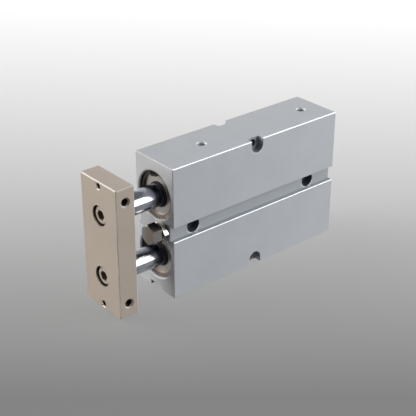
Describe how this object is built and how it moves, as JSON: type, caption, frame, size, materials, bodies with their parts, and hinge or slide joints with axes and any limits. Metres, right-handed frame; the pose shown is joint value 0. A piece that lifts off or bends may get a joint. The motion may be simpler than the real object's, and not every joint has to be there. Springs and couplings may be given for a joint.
{
  "type": "double rod pneumatic cylinder",
  "caption": "Slim aluminium cylinder block whose parallel piston rods push a shared end plate; with switch grooves, air ports and an adjustable stop bolt.",
  "frame": {"origin": "centre of the two mounting holes in the side grooves, half way through the block's width and height", "axes": "+X the way the rods extend, +Y out of the wide side that the picture shows, +Z from the lower bore to the upper one"},
  "size_m": [0.1465, 0.03, 0.073],
  "materials": {
    "housing_anodised": "satin clear anodised, fine drawn grain along its length",
    "plate_nickel": "satin nickel plating with a warm tone",
    "rod_chrome": "hard chrome, mirror ground",
    "cover_alloy": "turned",
    "bush_bronze": "sintered bronze",
    "seal_rubber": "nitrile rubber",
    "spring_steel": "phosphated spring steel",
    "plated_fastener": "nickel plated steel",
    "ball_steel": "polished bearing steel",
    "piston_alloy": "turned",
    "guide_plastic": "acetal",
    "magnet_ferrite": "sintered ferrite",
    "bumper_urethane": "cast urethane"
  },
  "bodies": {
    "cylinder": {"housing": "housing_anodised", "front_cover_upper": "cover_alloy", "front_cover_lower": "cover_alloy", "guide_bush_upper": "bush_bronze", "guide_bush_lower": "bush_bronze", "rod_seal_upper": "seal_rubber", "rod_seal_lower": "seal_rubber", "rear_cover_upper": "cover_alloy", "rear_cover_lower": "cover_alloy", "front_o_ring_upper": "seal_rubber", "front_o_ring_lower": "seal_rubber", "rear_o_ring_upper": "seal_rubber", "rear_o_ring_lower": "seal_rubber", "front_circlip_upper": "spring_steel", "front_circlip_lower": "spring_steel", "rear_circlip_upper": "spring_steel", "rear_circlip_lower": "spring_steel", "front_plug_ball": "ball_steel", "rear_plug_ball": "ball_steel", "lock_nut": "plated_fastener"},
    "carriage": {"end_plate": "plate_nickel", "piston_rod_upper": "rod_chrome", "piston_rod_lower": "rod_chrome", "rod_screw_upper": "plated_fastener", "rod_screw_lower": "plated_fastener", "piston_upper": "piston_alloy", "piston_lower": "piston_alloy", "piston_seal_upper": "seal_rubber", "piston_seal_lower": "seal_rubber", "wear_ring_upper": "guide_plastic", "wear_ring_lower": "guide_plastic", "magnet_upper": "magnet_ferrite", "magnet_lower": "magnet_ferrite", "magnet_holder_upper": "guide_plastic", "magnet_holder_lower": "guide_plastic", "piston_bumper_upper": "bumper_urethane", "piston_bumper_lower": "bumper_urethane", "piston_nut_upper": "plated_fastener", "piston_nut_lower": "plated_fastener"},
    "stop_bolt": {"adjusting_bolt": "plated_fastener"}
  },
  "joints": [
    {"name": "rod_slide", "type": "slide", "parent": "cylinder", "child": "carriage", "axis": [1, 0, 0], "range_m": [-0.0132, 0.0368]},
    {"name": "bolt_adjust", "type": "slide", "parent": "cylinder", "child": "stop_bolt", "axis": [1, 0, 0], "range_m": [-0.001, 0]}
  ]
}
